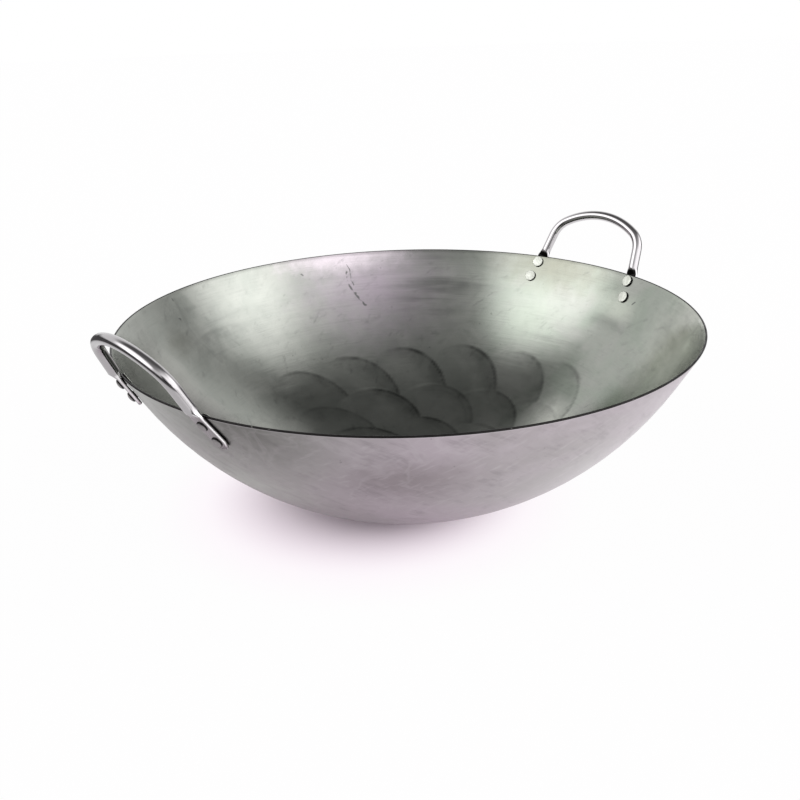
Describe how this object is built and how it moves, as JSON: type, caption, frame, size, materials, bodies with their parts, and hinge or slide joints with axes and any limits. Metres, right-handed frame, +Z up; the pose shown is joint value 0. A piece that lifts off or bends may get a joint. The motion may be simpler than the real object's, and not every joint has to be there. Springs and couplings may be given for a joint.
{
  "type": "wok",
  "caption": "Deep round steel wok with a small flat spot underneath and two opposite loop handles of bent tube, their flattened ends riveted to the outside of the wall.",
  "frame": {"origin": "middle of the flat spot under the bowl, on the surface that the wok stands on", "axes": "+Z up the bowl's axis, +X through the middle of the right handle"},
  "size_m": [0.4492, 0.4094, 0.1703],
  "materials": {
    "bowl_steel": "bare hammered carbon steel, satin, faintly tinted by heat",
    "handle_steel": "polished tube, duller where the ends are pressed flat",
    "rivet_steel": "bright bare steel, satin"
  },
  "bodies": {
    "root": {"bowl": "bowl_steel", "handle_right": "handle_steel", "handle_left": "handle_steel", "rivet_right_front_upper": "rivet_steel", "rivet_right_front_lower": "rivet_steel", "rivet_right_back_upper": "rivet_steel", "rivet_right_back_lower": "rivet_steel", "rivet_left_front_upper": "rivet_steel", "rivet_left_front_lower": "rivet_steel", "rivet_left_back_upper": "rivet_steel", "rivet_left_back_lower": "rivet_steel"}
  },
  "joints": []
}
